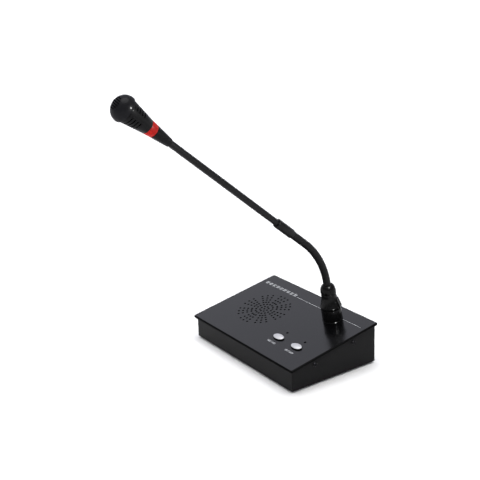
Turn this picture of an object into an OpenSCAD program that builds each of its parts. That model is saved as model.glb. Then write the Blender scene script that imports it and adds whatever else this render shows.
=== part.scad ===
// Paging microphone: a sloping desk base with a speaker, two push buttons and
// a plug-in gooseneck microphone. Millimetres, +Z up. The origin is on the table
// under the middle of the base, +X to the user's right, +Y away from the user.

/* [Base] */
// Width of the base over its side walls
body_w = 199.6; // [190:0.2:240]
// Depth of the base over its front and back walls
body_d = 127; // [120:1:150]
// Height of the front wall above the underside of the tray
front_h = 25.7; // [25:0.1:34]
// Height of the back wall above the underside of the tray
back_h = 48.3; // [46:0.1:60]
// Thickness of the tray's folded sheet
sheet_t = 1.5; // [1:0.1:2]

/* [Pad] */
// Thickness of the rubber pad under the tray
pad_t = 2; // [1:0.5:4]
// How far the pad's edge lies in from the walls
pad_inset = 4; // [2:0.5:10]
// Radius of the pad's corners
pad_corner_r = 6; // [2:0.5:12]

/* [Top panel] */
// Thickness of the top panel
panel_t = 3.5; // [3:0.1:5]
// How far the panel stands out past each side wall
side_lip = 4.2; // [3:0.1:5]
// How far the panel stands out past the front wall
front_lip = 3.5; // [3:0.1:5]
// How far the panel stands out past the back wall
back_lip = 2; // [2:0.1:5]
// Radius of the panel's corners
panel_corner_r = 3; // [3:0.5:10]

/* [Side screws and brackets] */
// Distance between the two screws of a side wall
screw_pitch = 59; // [40:1:80]
// Drop of the screws below the top edge of the side wall
screw_drop = 7.1; // [6.5:0.1:9]
// Diameter of a side screw's thread
screw_d = 3; // [2.5:0.5:4]
// Diameter of a side screw's head
screw_head_d = 5.6; // [5:0.1:7]
// Height of a side screw's head
screw_head_h = 1.5; // [1:0.1:2.5]
// Thickness of the brackets under the panel
bracket_t = 1.5; // [1:0.1:2]
// Length of a bracket's leg along the panel
bracket_l = 11; // [8:1:14]
// Width of a bracket up the slope
bracket_w = 14; // [10:1:18]

/* [Speaker grille] */
// Centre of the speaker to the right of the middle
speaker_u = -38.6; // [-44:0.2:-34]
// Centre of the speaker up the slope from the front wall
speaker_v = 65; // [60:0.5:70]
// Step from one ring of grille holes to the next
grille_pitch = 5.6; // [5:0.1:6]
// Number of rings of grille holes
grille_rings = 6; // [4:1:6]
// Diameter of a grille hole
grille_hole_d = 2.8; // [1.6:0.1:3]
// Number of groups of holes round the grille
grille_groups = 8; // [6:1:8]
// Angle between the three lines of holes of a group
grille_line_deg = 12.2; // [10:0.1:14]

/* [Speaker] */
// Outer diameter of the speaker's flange
speaker_d = 82; // [78:1:86]
// Thickness of the foam ring between speaker and panel
gasket_t = 4; // [3:0.5:5]
// Width of the foam ring
gasket_w = 3; // [2:0.5:3.5]
// Thickness of the pressed steel frame
frame_t = 1.2; // [0.8:0.1:1.6]
// Depth of the frame from its flange to its bottom plate
basket_h = 11; // [10:0.5:13]
// Outer diameter of the paper cone
cone_d = 56; // [52:1:58]
// Diameter of the voice coil's former
coil_d = 12.8; // [11:0.2:14]
// Travel of the cone each way
cone_travel = 0.8; // [0.4:0.1:1.2]
// Diameter of the ring magnet
magnet_d = 40; // [36:1:46]
// Height of the ring magnet
magnet_h = 6; // [5:0.5:8]
// Thickness of the steel plates on both sides of the magnet
pole_plate_t = 2.2; // [2:0.1:3]
// Diameter of the four weld studs that hold the speaker
stud_d = 3; // [2.5:0.5:4]

/* [Buttons and lamps] */
// Middle of the pair of buttons in from the right-hand wall
button_u = 49.7; // [44:0.1:52]
// Distance between the two buttons
button_pitch = 34.6; // [30:0.2:38]
// Centre of the buttons up the slope from the front wall
button_v = 33.7; // [30:0.1:36]
// Length of an oval button cap across the panel
button_l = 17; // [14:0.5:20]
// Width of an oval button cap up the slope
button_w = 10; // [8:0.5:12]
// Height of a cap's crown above the panel
button_rise = 2.8; // [2:0.1:4]
// Radius of a cap's crown
crown_r = 26; // [20:1:40]
// Travel of a button
button_travel = 1.5; // [0.8:0.1:1.8]
// Centre of the lamps up the slope from the front wall
lamp_v = 47; // [45:0.5:50]
// Diameter of a lamp
lamp_d = 3; // [2:0.5:3]

/* [Switch board] */
// Drop of the switch board's top below the panel's underside
board_drop = 13; // [12:0.5:16]
// Thickness of both circuit boards
board_t = 1.6; // [1.2:0.1:2]
// Side of a square push switch
switch_w = 12; // [10:0.5:12]
// Height of a push switch
switch_h = 6.2; // [5.5:0.1:7]
// Diameter of a switch plunger
plunger_d = 3.6; // [3:0.1:4.5]
// Diameter of the posts that carry the boards
post_d = 6; // [5:0.5:7]
// Diameter of the small board screws
board_screw_d = 2.5; // [2:0.1:3]

/* [Microphone socket] */
// Centre of the socket in from the right-hand wall
mic_u = 47.6; // [42:0.2:50]
// Centre of the socket down the slope from the back wall
mic_v = 25.8; // [22:0.2:30]
// Outer diameter of the socket's barrel
barrel_d = 24.8; // [22:0.1:26]
// Wall of the barrel
barrel_wall = 2.5; // [1.6:0.1:2.8]
// Height of the barrel above the panel
barrel_h = 16; // [14:0.1:18]
// Diameter of the socket's base ring on the panel
base_ring_d = 25.6; // [25.2:0.1:30]
// Height of the base ring
base_ring_h = 1; // [0.6:0.1:2]
// Length of the socket's threaded body below the panel
socket_drop = 18; // [15:0.5:20]
// Diameter of a contact pin
pin_d = 2.4; // [2:0.1:2.6]
// Diameter of the circle on which the three pins stand
pin_circle_d = 7; // [6.4:0.1:7.4]

/* [Plug] */
// Height of the plug's housing
housing_h = 20.6; // [20:0.2:26]
// Diameter of the housing's foot
housing_d1 = 25.4; // [24:0.2:27]
// Diameter of the housing's top
housing_d2 = 18.4; // [16:0.2:20]
// Height of the housing's straight foot
housing_foot_l = 3.6; // [3:0.2:6]
// Height of the housing's straight neck
housing_neck_l = 5; // [4:0.2:6]
// Wall of the housing's neck
housing_wall = 1.5; // [1.2:0.1:2]
// Diameter of the rubber boot
boot_d = 18.8; // [16:0.1:20]
// Height of the rubber boot
boot_h = 11.2; // [10:0.1:12]
// Direction of the release latch round the plug, from +X towards +Y
latch_turn = 34; // [0:1:180]
// Width of the release latch
latch_w = 7; // [4:0.2:7.4]
// Depth of the release latch inside the housing's outline
latch_t = 1.6; // [1.2:0.1:1.8]
// Height of the release latch above the housing's outline
latch_proud = 0.4; // [0.1:0.1:1]
// Angle through which the latch is pressed
latch_press = 4; // [2:0.5:4]

/* [Gooseneck] */
// Diameter of the flexible neck
flex_d = 9.2; // [8:0.1:10]
// Bore of the flexible neck for its wires
flex_bore = 5; // [4:0.1:6]
// Length along the plug's axis from the panel to the start of the bend
neck_rise = 51.1; // [50:0.1:70]
// Radius of the bend
bend_r = 96.6; // [70:0.2:120]
// Angle of the bend towards the user
bend_deg = 39.1; // [20:0.1:50]
// Straight length of flexible neck above the bend
neck_run = 25.8; // [15:0.1:40]
// Length of the joining sleeve
sleeve_l = 27.8; // [24:0.1:40]
// Diameter of the joining sleeve
sleeve_d = 11; // [10.6:0.1:14]
// Visible length of the stiff upper tube
tube_l = 176.7; // [120:0.1:240]
// Diameter of the upper tube
tube_d = 7.8; // [7:0.1:9]
// Wall of the upper tube
tube_wall = 1; // [0.6:0.1:1.4]

/* [Microphone head] */
// Diameter of the head where the tube enters it
tail_d = 9.6; // [9.4:0.1:12]
// Length of the head's tail up to the red ring
tail_l = 23; // [18:0.5:30]
// Length of the red indicator ring
ring_l = 8.9; // [6:0.1:14]
// Diameter of the ring at its rear edge
ring_d1 = 14.7; // [13.6:0.1:16]
// Diameter of the ring at its front edge
ring_d2 = 16.7; // [16:0.1:18]
// Length of the head's body in front of the ring
bell_l = 30.4; // [26:0.1:36]
// Diameter of the body's front edge
bell_d = 26.4; // [25:0.1:28]
// Wall of the head's shells
head_wall = 1.3; // [1:0.1:1.6]
// Diameter of the domed grille
dome_d = 29.2; // [28.4:0.1:32]
// Length of the straight part of the grille
dome_skirt = 1.5; // [1.2:0.1:3]
// Height of the grille's dome
dome_h = 12.8; // [12:0.1:15]
// Number of slots across the dome
dome_slots = 6; // [3:1:7]
// Width of a slot in the dome
dome_slot_w = 1.1; // [0.8:0.1:1.4]
// Diameter of the round field that the dome's slots fill
dome_field_d = 14.6; // [13:0.2:20]
// Angle of the dome's slots about the head's axis
dome_slot_turn = -12; // [-45:1:45]
// Rows of side slots in the head's body
bell_rows = 4; // [1:1:4]
// Groups of side slots around the head's body
bell_groups = 3; // [2:1:4]
// Diameter of the microphone capsule
capsule_d = 16; // [12:0.5:18]
// Length of the microphone capsule
capsule_l = 8; // [6:0.5:10]

/* [Main board and jacks] */
// Width of the main board
main_w = 84; // [78:1:88]
// Depth of the main board
main_d = 56; // [50:1:60]
// Gap between the main board and the right-hand wall
main_u = 6.3; // [3:0.1:8]
// Height of the posts under the main board
main_post_h = 5; // [4:0.5:8]
// Middle of the network jack in from the right-hand wall
net_u = 67.8; // [58:0.2:74]
// Middle of the power jack in from the right-hand wall
power_u = 33.8; // [24:0.2:42]

/* [Hidden] */
$fn = 64;

// Clearances and small sizes shared by several pieces
over = 1;
slip = 0.15;
run_gap = 0.4;
thread_gap = 0.05;
hole_gap = 0.25;
stop_gap = 0.3;

// The sloping panel
slope = atan((back_h - front_h) / body_d);
panel_l = body_d / cos(slope);
floor_z = pad_t + sheet_t;
wall_x = body_w / 2 - sheet_t;
wall_y = body_d / 2 - sheet_t;
button_x = body_w / 2 - button_u;
mic_x = body_w / 2 - mic_u;
mic_up = panel_l - mic_v;
function wall_top(y) = pad_t + front_h + (y + body_d / 2) * tan(slope);

// The speaker's levels, each a depth below the panel's underside
roll_t = 0.4;
flange_z = gasket_t + roll_t;
plate_z = flange_z + frame_t + basket_h;
top_plate_z = plate_z + frame_t;
magnet_z = top_plate_z + pole_plate_t;
yoke_z = magnet_z + magnet_h;
former_t = 0.4;
coil_gap = 0.45;
cone_t = 0.6;
cone_neck_z = plate_z - 4.4;
spider_t = 0.5;
spider_z = cone_neck_z + cone_t + cone_travel + stop_gap + spider_t;
spider_d = 31;
magnet_room = 3;
stud_inset = 3;
stud_tail = 5;
stud_circle_d = speaker_d - 2 * stud_inset;
flange_w = 8.2;
basket_d = speaker_d - 2 * flange_w;
gasket_step = 0.4;
gasket_d = basket_d + 2 * gasket_step + 2 * gasket_w;

// The buttons' levels, each a height above the panel's top
cap_flange_t = 1.2;
cap_flange_lip = 1.8;
switch_spare = 0.3;
switch_floor = 1;
oval_sides = 48;
board_top = -panel_t - board_drop;
cap_flange_top = -panel_t - stop_gap;
plunger_top = board_top + switch_h + button_travel + switch_spare;
plunger_low = board_top + switch_floor + button_travel + switch_spare;
board_margin_u = 17;
board_margin_v = 11;
post_inset = 4.5;
screw_bite = 6;
lamp_flange = 0.5;

// The socket and the plug, as heights above the panel's top
barrel_bore = barrel_d - 2 * barrel_wall;
thread_d = barrel_d - 1.3;
insert_top = -4;
insert_t = 5;
pin_top = 8;
pin_tail = 5;
nose_d = barrel_bore - 2 * run_gap;
nose_wall = 1.2;
nose_low = 0.6;
nose_grip = 5;
contact_wall = 0.3;
contact_top = 14;
housing_low = barrel_h + run_gap;
housing_top = housing_low + housing_h;
housing_bore = housing_d2 - 2 * housing_wall;
boot_top = housing_top + boot_h;
boot_spigot_l = 4;
flex_seat = 6;

// The latch lies in a slot of the housing and pivots near its upper end
function housing_r(h) = housing_d1 / 2 - (housing_d1 - housing_d2) / 2
    * min(max((h - housing_low - housing_foot_l) / (housing_h - housing_foot_l - housing_neck_l), 0), 1);
pivot_pin_d = 1.6;
pivot_gap = 0.08;
pivot_eye_r = 1.4;
pivot_depth = 1.9;
pivot_side = 1.2;
latch_low = housing_low + stop_gap;
latch_top = housing_top - housing_neck_l - 2.5;
pivot_h = latch_top - 3.5;
pivot_r = housing_r(pivot_h) - pivot_depth;

// Lengths along the neck's middle line, from the panel's top
neck_arc = bend_r * bend_deg * PI / 180;
sleeve_s = neck_rise + neck_arc + neck_run;
tube_s = sleeve_s + sleeve_l;
head_s = tube_s + tube_l;
bend_end = neck_rise + neck_arc;
bend_step = (bend_end - boot_top) / 3;
flex_ends = [boot_top, boot_top + bend_step, boot_top + 2 * bend_step, bend_end, sleeve_s];
tube_seat = 8;

// The head's levels along its own axis
ring_z = tail_l;
bell_z = ring_z + ring_l;
dome_gap = 0.7;
dome_z = bell_z + bell_l + dome_gap;
dome_top_z = dome_z + dome_skirt;
core_d = 6.8;
core_bore = 4.4;
core_grip = 4;
bell_back = 4.5;
spigot_d = bell_d - 2.4;
spigot_l = 4;
bell_top_z = bell_z + bell_l;
capsule_z = bell_top_z - 1.5;
ring_wall = 1.6;
bell_slot_w = 1.3;
bell_slot_step = 4;
bell_rib_deg = 38;
bell_slot_deg = 360 / bell_groups - bell_rib_deg;
bell_slot_turn = 60;

// The main board and its jacks
main_x = wall_x - main_u - main_w;
net_x = body_w / 2 - net_u;
power_x = body_w / 2 - power_u;
main_z = floor_z + main_post_h;
main_back = wall_y - 0.8;
main_top = main_z + board_t;
net_w = 16;
net_l = 21;
net_h = 13.4;
net_mouth_w = 12;
net_mouth_h = 8.4;
net_mouth_l = 15;
net_lip = 1.6;
power_w = 10;
power_l = 14;
power_h = 11;
power_bore = 6.2;
power_pin_d = 2;
jack_face = body_d / 2 + 0.3;

// Colours of the finishes
black_paint = [0.16, 0.17, 0.18];
panel_paint = [0.26, 0.27, 0.29];
black_plastic = [0.09, 0.09, 0.10];
rubber_black = [0.07, 0.07, 0.07];
bright_steel = [0.72, 0.73, 0.75];
zinc = [0.60, 0.61, 0.62];
dark_steel = [0.20, 0.20, 0.21];
board_green = [0.10, 0.36, 0.20];
brass = [0.78, 0.62, 0.30];
ring_red = [0.80, 0.12, 0.10];

// Shared shapes

// Places its children on the panel: u across, v up the slope, h above its top
module on_panel(u = 0, v = 0, h = 0) {
    translate([0, -body_d / 2, pad_t + front_h])
        rotate([slope, 0, 0])
            translate([u, v, panel_t + h]) children();
}

// A straight tube that stands on its own base
module tube(l, d, bore) {
    difference() {
        cylinder(h = l, d = d);
        translate([0, 0, -over]) cylinder(h = l + 2 * over, d = bore);
    }
}

// Corners of an oval
function oval(l, w) = [for (i = [0 : oval_sides - 1])
    [l / 2 * cos(i * 360 / oval_sides), w / 2 * sin(i * 360 / oval_sides)]];

// A pan head with a cross recess on a shank; the seat of the head is at z = 0
module pan_screw(d, l, head_d, head_h) {
    recess_w = head_d * 0.16;
    recess_l = head_d * 0.56;
    difference() {
        union() {
            cylinder(h = head_h * 0.5, d = head_d);
            translate([0, 0, head_h * 0.5]) cylinder(h = head_h * 0.5, d1 = head_d, d2 = head_d * 0.7);
            translate([0, 0, -l]) cylinder(h = l, d = d);
        }
        for (a = [0, 90])
            rotate([0, 0, a])
                translate([-recess_l / 2, -recess_w / 2, head_h * 0.45]) cube([recess_l, recess_w, head_h]);
    }
}

// Places its children on the four side screws, their z axis pointing outwards
module at_side_screws() {
    for (side = [-1, 1], i = [-1, 1])
        translate([side * body_w / 2, i * screw_pitch / 2, wall_top(i * screw_pitch / 2) - screw_drop])
            rotate([0, side * 90, 0]) children();
}

// Places its children at a length s along the neck, their z axis along it
module along_neck(s) {
    bent = min(max(s - neck_rise, 0), neck_arc);
    on_panel(mic_x, mic_up)
        translate([0, -bend_r, min(s, neck_rise)])
            rotate([bent / bend_r * 180 / PI, 0, 0])
                translate([0, bend_r, max(s - neck_rise - neck_arc, 0)]) children();
}

// A stretch of round neck from length s0 to length s1
module neck_stretch(s0, s1, d, bore) {
    arc0 = max(s0, neck_rise);
    arc1 = min(s1, bend_end);
    if (s0 < neck_rise)
        along_neck(s0) tube(min(s1, neck_rise) - s0, d, bore);
    if (arc1 > arc0)
        along_neck(arc0)
            translate([0, -bend_r, 0])
                rotate([90, 0, 90])
                    rotate_extrude(angle = (arc1 - arc0) / bend_r * 180 / PI)
                        translate([bend_r, 0]) difference() {
                            circle(d = d);
                            circle(d = bore);
                        }
    if (s1 > bend_end)
        along_neck(max(s0, bend_end)) tube(s1 - max(s0, bend_end), d, bore);
}

// Places its children on the microphone head's axis
module on_head(z = 0) {
    along_neck(head_s) translate([0, 0, z]) children();
}

// Base

module wedge() {
    rotate([90, 0, 90])
        linear_extrude(body_w, center = true)
            polygon([[-body_d / 2, pad_t], [body_d / 2, pad_t],
                     [body_d / 2, pad_t + back_h], [-body_d / 2, pad_t + front_h]]);
}

module chassis_tray() {
    color(black_paint) difference() {
        wedge();
        translate([-wall_x, -wall_y, floor_z]) cube([2 * wall_x, 2 * wall_y, back_h]);
        at_side_screws()
            translate([0, 0, -sheet_t - over]) cylinder(h = sheet_t + 2 * over, d = screw_d + 2 * hole_gap);
        translate([net_x - net_w / 2 - hole_gap, wall_y - over, main_top - hole_gap])
            cube([net_w + 2 * hole_gap, sheet_t + 2 * over, net_h + 2 * hole_gap]);
        translate([power_x - power_w / 2 - hole_gap, wall_y - over, main_top - hole_gap])
            cube([power_w + 2 * hole_gap, sheet_t + 2 * over, power_h + 2 * hole_gap]);
    }
}

module base_pad() {
    w = body_w - 2 * pad_inset;
    d = body_d - 2 * pad_inset;
    r = pad_corner_r;
    color(rubber_black) linear_extrude(pad_t) union() {
        square([w - 2 * r, d], center = true);
        square([w, d - 2 * r], center = true);
        for (x = [-1, 1], y = [-1, 1])
            translate([x * (w / 2 - r), y * (d / 2 - r)]) circle(r = r);
    }
}

// Angles of the holes in ring k of the grille: a centre hole, two plain rings,
// then groups of three lines
function ring_angles(k) =
    k == 0 ? [0] :
    k == 1 ? [for (i = [0 : grille_groups - 1]) i * 360 / grille_groups] :
    k == 2 ? [for (i = [0 : 2 * grille_groups - 1]) (i + 0.5) * 180 / grille_groups] :
    [for (i = [0 : grille_groups - 1], j = [-1 : 1]) i * 360 / grille_groups + j * grille_line_deg];

module grille_holes() {
    for (k = [0 : grille_rings], a = ring_angles(k))
        rotate([0, 0, a])
            translate([k * grille_pitch, 0, -over]) cylinder(h = panel_t + 2 * over, d = grille_hole_d);
}

// A bar's section with round ends, standing on y = 0
module round_bar(w) {
    translate([-w / 2 + panel_t / 2, 0]) square([w - panel_t, panel_t]);
    for (side = [-1, 1])
        translate([side * (w - panel_t) / 2, panel_t / 2]) circle(d = panel_t);
}

// A round corner of the panel, with the same round edge
module corner_disc() {
    flat_r = panel_corner_r - panel_t / 2;
    rotate_extrude() union() {
        square([flat_r, panel_t]);
        intersection() {
            translate([flat_r, panel_t / 2]) circle(d = panel_t);
            translate([flat_r, 0]) square([panel_t, panel_t]);
        }
    }
}

// Plate with round edges and round corners
module panel_plate(w, l) {
    x_in = w / 2 - panel_corner_r;
    y_in = l / 2 - panel_corner_r;
    union() {
        rotate([90, 0, 90]) linear_extrude(2 * x_in, center = true) round_bar(l);
        rotate([90, 0, 0]) linear_extrude(2 * y_in, center = true) round_bar(w);
        for (x = [-1, 1], y = [-1, 1])
            translate([x * x_in, y * y_in, 0]) corner_disc();
    }
}

module top_panel() {
    color(panel_paint) difference() {
        on_panel(0, (panel_l + back_lip - front_lip) / 2, -panel_t)
            panel_plate(body_w + 2 * side_lip, panel_l + front_lip + back_lip);
        on_panel(speaker_u, speaker_v, -panel_t) grille_holes();
        on_panel(mic_x, mic_up, -panel_t - over) cylinder(h = panel_t + 2 * over, d = thread_d + 2 * slip);
        for (side = [-1, 1]) {
            at_button(side)
                translate([0, 0, -panel_t - over])
                    linear_extrude(panel_t + 2 * over)
                        polygon(oval(button_l + 2 * run_gap, button_w + 2 * run_gap));
            at_lamp(side)
                translate([0, 0, -panel_t - over]) cylinder(h = panel_t + 2 * over, d = lamp_d + 2 * slip);
        }
    }
}

// Angle brackets welded under the panel, tapped for the side screws
module panel_brackets() {
    hole_z = screw_drop * cos(slope);
    leg_h = hole_z + bracket_w / 2 - over;
    color(zinc)
        for (side = [0, 180], i = [-1, 1])
            on_panel(cos(side) * wall_x,
                     (i * screw_pitch / 2 + body_d / 2) / cos(slope) - screw_drop * sin(slope), -panel_t)
                rotate([0, 0, side]) difference() {
                    translate([-bracket_l, -bracket_w / 2, -leg_h]) cube([bracket_l, bracket_w, leg_h]);
                    translate([-bracket_l - over, -bracket_w / 2 - over, -leg_h - over])
                        cube([bracket_l + over - bracket_t, bracket_w + 2 * over,
                              leg_h + over - bracket_t]);
                    translate([-bracket_t - over, 0, -hole_z]) rotate([0, 90, 0])
                        cylinder(h = bracket_t + 2 * over, d = screw_d + 2 * thread_gap);
                }
}

module side_screws() {
    color(dark_steel)
        at_side_screws() pan_screw(screw_d, sheet_t + bracket_t + 2, screw_head_d, screw_head_h);
}

// Speaker, in depths below the panel's underside

module on_speaker(depth = 0) {
    on_panel(speaker_u, speaker_v, -panel_t - depth) children();
}

module at_studs() {
    for (a = [45 : 90 : 315])
        rotate([0, 0, a]) translate([stud_circle_d / 2, 0, 0]) children();
}

module speaker_gasket() {
    color(rubber_black) on_speaker(gasket_t) tube(gasket_t, gasket_d, gasket_d - 2 * gasket_w);
}

module speaker_studs() {
    stud_l = flange_z + frame_t + stud_tail;
    color(zinc) on_speaker(stud_l) at_studs() cylinder(h = stud_l, d = stud_d);
}

module speaker_nuts() {
    nut_h = 0.8 * stud_d;
    color(zinc) on_speaker(flange_z + frame_t + nut_h)
        at_studs() difference() {
            cylinder(h = nut_h, d = 2.1 * stud_d, $fn = 6);
            translate([0, 0, -over]) cylinder(h = nut_h + 2 * over, d = stud_d + 2 * thread_gap);
        }
}

module speaker_frame() {
    window_w = 14;
    window_h = 0.5 * basket_h;
    window_drop = 2;
    lip_z = flange_z + frame_t;
    color(zinc) on_speaker() difference() {
        rotate_extrude()
            polygon([[basket_d / 2, -flange_z], [speaker_d / 2, -flange_z], [speaker_d / 2, -lip_z],
                     [basket_d / 2 + frame_t, -lip_z], [magnet_d / 2 + frame_t, -top_plate_z],
                     [coil_d / 2 + former_t + 2 * coil_gap, -top_plate_z],
                     [coil_d / 2 + former_t + 2 * coil_gap, -plate_z], [spider_d / 2 - 1.5, -plate_z],
                     [spider_d / 2 - 1.5, -spider_z], [spider_d / 2, -spider_z],
                     [spider_d / 2, -plate_z], [magnet_d / 2, -plate_z]]);
        translate([0, 0, -lip_z - over]) at_studs()
            cylinder(h = frame_t + 2 * over, d = stud_d + 2 * hole_gap);
        for (a = [0 : 90 : 270])
            rotate([0, 0, a])
                translate([magnet_d / 2, -window_w / 2, -lip_z - window_h - window_drop])
                    cube([basket_d, window_w, window_h]);
    }
}

module speaker_top_plate() {
    color(dark_steel) on_speaker(magnet_z)
        tube(pole_plate_t, magnet_d - 4, coil_d + 2 * (former_t + coil_gap));
}

module speaker_magnet() {
    color(dark_steel) on_speaker(yoke_z) tube(magnet_h, magnet_d, coil_d + 2 * magnet_room);
}

module speaker_yoke() {
    pole_d = coil_d - 2 * coil_gap;
    color(zinc) on_speaker(yoke_z + pole_plate_t) {
        cylinder(h = pole_plate_t, d = magnet_d - 2);
        cylinder(h = yoke_z + pole_plate_t - top_plate_z, d = pole_d);
    }
}

// Half roll between the cone's edge and the frame, with a flat lip on each side
module speaker_surround() {
    roll_in = cone_d / 2;
    roll_out = basket_d / 2;
    roll_r = (roll_out - roll_in) / 2;
    color(rubber_black) on_speaker() rotate_extrude() union() {
        translate([roll_in - 1.2, -flange_z]) square([1.2 + roll_t, roll_t]);
        translate([roll_out - roll_t, -flange_z]) square([gasket_d / 2 - roll_out + roll_t, roll_t]);
        intersection() {
            translate([roll_in + roll_r, -flange_z]) difference() {
                circle(r = roll_r);
                circle(r = roll_r - roll_t);
            }
            translate([roll_in, -flange_z]) square([2 * roll_r, roll_r + over]);
        }
    }
}

module speaker_spider() {
    color([0.72, 0.60, 0.34]) on_speaker(spider_z) tube(spider_t, spider_d, coil_d + 2 * former_t + 2 * slip);
}

module speaker_cone() {
    neck_r = coil_d / 2 + former_t;
    edge_r = cone_d / 2;
    color(dark_steel) on_speaker() rotate_extrude()
        polygon([[neck_r, -cone_neck_z - cone_t], [neck_r, -cone_neck_z], [edge_r - 1.6, -flange_z],
                 [edge_r, -flange_z], [edge_r, -flange_z - cone_t], [edge_r - 1.4, -flange_z - cone_t]]);
}

module voice_coil() {
    former_low = magnet_z + cone_travel + stop_gap;
    color(brass) on_speaker(former_low) tube(former_low - cone_neck_z, coil_d + 2 * former_t, coil_d);
}

// Shallow dome glued over the cone's neck
module dust_cap() {
    rim_r = coil_d / 2 + former_t + 0.6;
    rise = 2.4;
    cap_t = 0.5;
    base_z = cone_neck_z - 0.45;
    step = 11.25;
    color(dark_steel) on_speaker() rotate_extrude()
        polygon(concat([for (a = [0 : step : 90]) [rim_r * cos(a), rise * sin(a) - base_z]],
                       [for (a = [90 : -step : 0])
                           [(rim_r - cap_t) * cos(a), (rise - cap_t) * sin(a) - base_z]]));
}

// Buttons and lamps

module at_button(side) {
    on_panel(button_x + side * button_pitch / 2, button_v) children();
}

module at_lamp(side) {
    on_panel(button_x + side * button_pitch / 2, lamp_v) children();
}

// Oval cap with a crowned top, a flange that stops it under the panel and a stem
module button_cap(side) {
    flange_low = cap_flange_top - cap_flange_t;
    stem_d = plunger_d + 1;
    color(bright_steel) at_button(side) union() {
        intersection() {
            translate([0, 0, flange_low])
                linear_extrude(button_rise - flange_low) polygon(oval(button_l, button_w));
            translate([0, 0, button_rise - crown_r]) sphere(r = crown_r, $fn = 96);
        }
        translate([0, 0, flange_low])
            linear_extrude(cap_flange_t)
                polygon(oval(button_l + 2 * cap_flange_lip, button_w + 2 * cap_flange_lip));
        translate([0, 0, plunger_top]) cylinder(h = cap_flange_top - plunger_top, d = stem_d);
    }
}

module button_cap_left() {
    button_cap(-1);
}

module button_cap_right() {
    button_cap(1);
}

module switch_plunger(side) {
    color(rubber_black) at_button(side)
        translate([0, 0, plunger_low]) cylinder(h = plunger_top - plunger_low, d = plunger_d);
}

module switch_plunger_left() {
    switch_plunger(-1);
}

module switch_plunger_right() {
    switch_plunger(1);
}

module switch_bodies() {
    color(black_plastic)
        for (side = [-1, 1])
            at_button(side) translate([0, 0, board_top]) difference() {
                translate([-switch_w / 2, -switch_w / 2, 0]) cube([switch_w, switch_w, switch_h]);
                translate([0, 0, switch_floor]) cylinder(h = switch_h, d = plunger_d + 2 * stop_gap);
            }
}

// Round lamps whose tips stand in the panel's holes, on two leads
module panel_lamps() {
    tip = -0.2;
    lamp_l = 5;
    lead_w = 0.6;
    lead_pitch = lamp_d * 0.8;
    foot = tip - lamp_l;
    color([0.45, 0.10, 0.10])
        for (side = [-1, 1])
            at_lamp(side) union() {
                translate([0, 0, tip - lamp_d / 2]) sphere(d = lamp_d);
                translate([0, 0, foot]) cylinder(h = lamp_l - lamp_d / 2, d = lamp_d);
                translate([0, 0, foot]) cylinder(h = over, d = lamp_d + 2 * lamp_flange);
                for (x = [-1, 1])
                    translate([x * lead_pitch / 2 - lead_w / 2, -lead_w / 2, board_top])
                        cube([lead_w, lead_w, foot - board_top]);
            }
}

// Switch board, parallel to the panel

board_u0 = button_x - button_pitch / 2 - board_margin_u;
board_u1 = button_x + button_pitch / 2 + board_margin_u;
board_v0 = button_v - board_margin_v;
board_v1 = lamp_v + board_margin_v;

module at_switch_posts(h) {
    for (u = [board_u0 + post_inset, board_u1 - post_inset],
         v = [board_v0 + post_inset, board_v1 - post_inset])
        on_panel(u, v, h) children();
}

module switch_board() {
    color(board_green) difference() {
        on_panel(board_u0, board_v0, board_top - board_t)
            cube([board_u1 - board_u0, board_v1 - board_v0, board_t]);
        at_switch_posts(board_top - board_t - over)
            cylinder(h = board_t + 2 * over, d = board_screw_d + 2 * hole_gap);
    }
}

module switch_board_posts() {
    color(brass) at_switch_posts(board_top) tube(board_drop, post_d, board_screw_d + 2 * thread_gap);
}

module switch_board_screws() {
    color(zinc) at_switch_posts(board_top - board_t)
        rotate([180, 0, 0])
            pan_screw(board_screw_d, board_t + screw_bite, 2 * board_screw_d, 0.7 * board_screw_d);
}

// Microphone socket on the panel

module on_mic(h = 0) {
    on_panel(mic_x, mic_up, h) children();
}

module at_pins() {
    for (a = [90, 210, 330])
        rotate([0, 0, a]) translate([pin_circle_d / 2, 0, 0]) children();
}

module mic_socket() {
    color(black_paint) on_mic() difference() {
        union() {
            cylinder(h = base_ring_h, d = base_ring_d);
            cylinder(h = barrel_h, d = barrel_d);
            translate([0, 0, -socket_drop]) cylinder(h = socket_drop, d = thread_d);
        }
        translate([0, 0, -socket_drop - over])
            cylinder(h = socket_drop + barrel_h + 2 * over, d = barrel_bore);
    }
}

module socket_nut() {
    nut_h = 3;
    color(zinc) on_mic(-panel_t - nut_h) difference() {
        cylinder(h = nut_h, d = 1.4 * barrel_d, $fn = 6);
        translate([0, 0, -over]) cylinder(h = nut_h + 2 * over, d = thread_d + 2 * thread_gap);
    }
}

module socket_insert() {
    color(black_plastic) on_mic(insert_top - insert_t) difference() {
        cylinder(h = insert_t, d = barrel_bore - 2 * slip);
        at_pins() translate([0, 0, -over]) cylinder(h = insert_t + 2 * over, d = pin_d + 2 * thread_gap);
    }
}

module socket_pins() {
    pin_low = insert_top - insert_t - pin_tail;
    color(brass) on_mic(pin_low) at_pins() {
        cylinder(h = pin_top - pin_low - pin_d / 2, d = pin_d);
        translate([0, 0, pin_top - pin_low - pin_d / 2]) sphere(d = pin_d);
    }
}

// Plug on the foot of the microphone

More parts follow.
